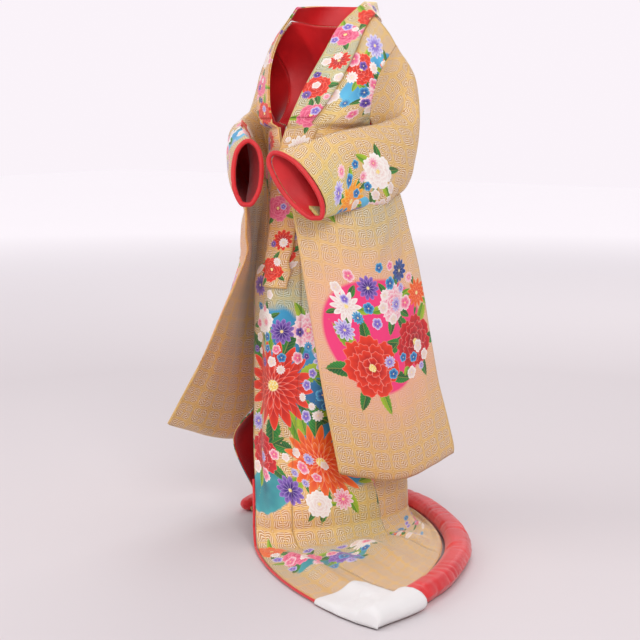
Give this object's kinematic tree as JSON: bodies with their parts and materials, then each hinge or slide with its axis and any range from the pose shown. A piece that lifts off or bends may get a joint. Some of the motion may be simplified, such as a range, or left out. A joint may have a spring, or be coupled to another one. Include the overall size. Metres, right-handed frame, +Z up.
{
  "type": "uchikake",
  "caption": "Long padded over-robe in its worn form: gold brocade with dyed flowers, red silk lining and padded hem, deep hanging sleeves and a trailing left front.",
  "frame": {"origin": "between the wearer's shoulders at their height, where the robe is held up", "axes": "+Z up, the front faces -Y, the wearer's left is +X"},
  "size_m": [0.9579, 0.9445, 1.4064],
  "materials": {
    "body_left": "gold brocade with dyed flowers, soft sheen",
    "body_right": "gold brocade with dyed flowers, soft sheen",
    "gore_left": "gold brocade with dyed flowers, soft sheen",
    "gore_right": "gold brocade, soft sheen",
    "neck_band": "gold brocade with dyed flowers, soft sheen",
    "band_cover": "gold brocade with dyed flowers, soft sheen",
    "sleeve_left": "gold brocade with dyed flowers, soft sheen",
    "sleeve_right": "gold brocade with dyed flowers, soft sheen",
    "hem_roll": "padded red silk, satin sheen",
    "lining_right": "red silk, satin sheen",
    "edge_piping": "red silk, satin sheen",
    "corner_cover": "plain white cotton, matt",
    "cuff_roll_left": "padded red silk, satin sheen",
    "cuff_roll_right": "padded red silk, satin sheen"
  },
  "bodies": {
    "root": {"body_left": "body_left", "body_right": "body_right", "gore_left": "gore_left", "gore_right": "gore_right", "neck_band": "neck_band", "band_cover": "band_cover", "sleeve_left": "sleeve_left", "sleeve_right": "sleeve_right", "hem_roll": "hem_roll", "lining_right": "lining_right", "edge_piping": "edge_piping", "corner_cover": "corner_cover", "cuff_roll_left": "cuff_roll_left", "cuff_roll_right": "cuff_roll_right"}
  },
  "joints": []
}
